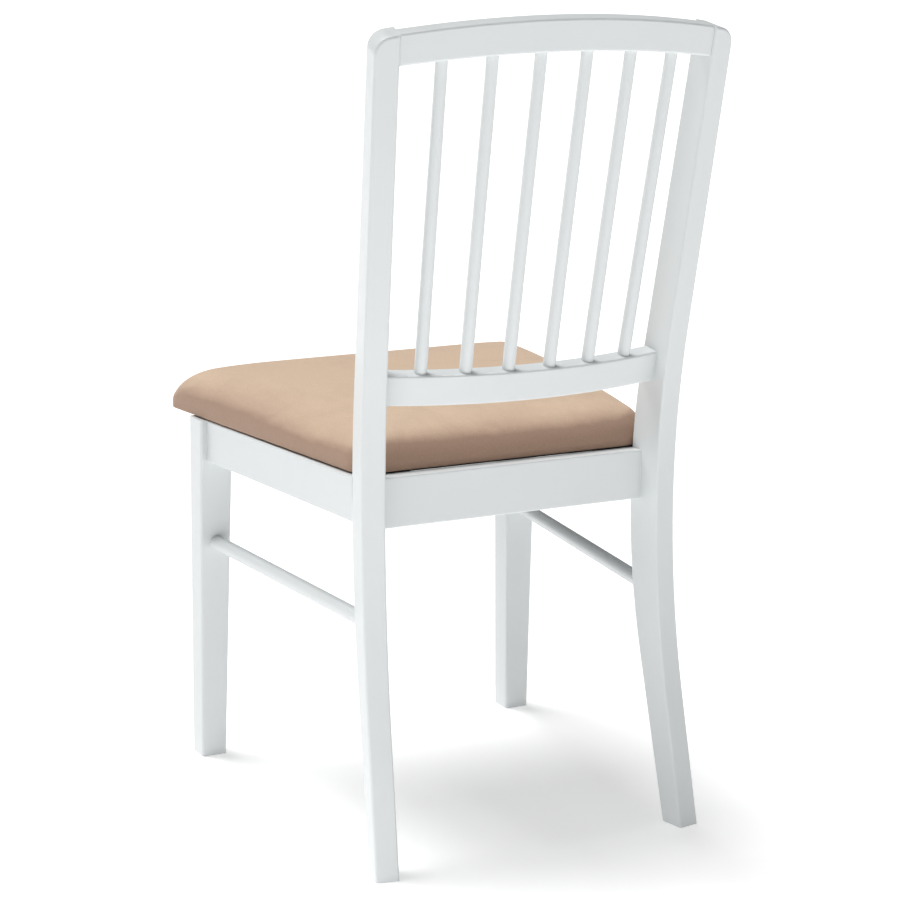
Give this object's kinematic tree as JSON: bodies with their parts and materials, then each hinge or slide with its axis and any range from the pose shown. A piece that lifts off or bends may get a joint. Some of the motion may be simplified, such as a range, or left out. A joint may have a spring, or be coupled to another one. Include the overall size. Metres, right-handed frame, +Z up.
{
  "type": "dining chair",
  "caption": "Dining chair with a white painted wooden frame, a leaning spindle back between sabre rear posts, tapered front legs and a tan upholstered seat pad.",
  "frame": {"origin": "on the floor, under the middle of the chair's bounding box", "axes": "+Z up; the chair faces -Y and its back is at +Y; +X is the sitter's left"},
  "size_m": [0.4652, 0.6076, 0.9137],
  "materials": {
    "painted_wood": "satin",
    "block_wood": "matte",
    "dowel_beech": "matte",
    "zinc_steel": "satin",
    "seat_fabric": "matte",
    "seat_foam": "matte",
    "plywood": "matte",
    "dust_cloth": "matte"
  },
  "bodies": {
    "root": {"rear_post_left": "painted_wood", "rear_post_right": "painted_wood", "front_leg_left": "painted_wood", "front_leg_right": "painted_wood", "crest_rail": "painted_wood", "lower_back_rail": "painted_wood", "front_apron": "painted_wood", "rear_apron": "painted_wood", "side_apron_left": "painted_wood", "side_apron_right": "painted_wood", "side_stretcher_left": "painted_wood", "side_stretcher_right": "painted_wood", "back_spindle_1": "painted_wood", "back_spindle_2": "painted_wood", "back_spindle_3": "painted_wood", "back_spindle_4": "painted_wood", "back_spindle_5": "painted_wood", "back_spindle_6": "painted_wood", "front_corner_block_left": "block_wood", "front_corner_block_right": "block_wood", "rear_corner_block_left": "block_wood", "rear_corner_block_right": "block_wood", "apron_to_front_leg_dowels": "dowel_beech", "apron_to_rear_post_dowels": "dowel_beech", "crest_rail_dowels": "dowel_beech", "lower_back_rail_dowels": "dowel_beech", "corner_block_screws": "zinc_steel", "seat_fixing_screws": "zinc_steel", "seat_cover": "seat_fabric", "seat_foam": "seat_foam", "seat_board": "plywood", "dust_cover": "dust_cloth"}
  },
  "joints": []
}
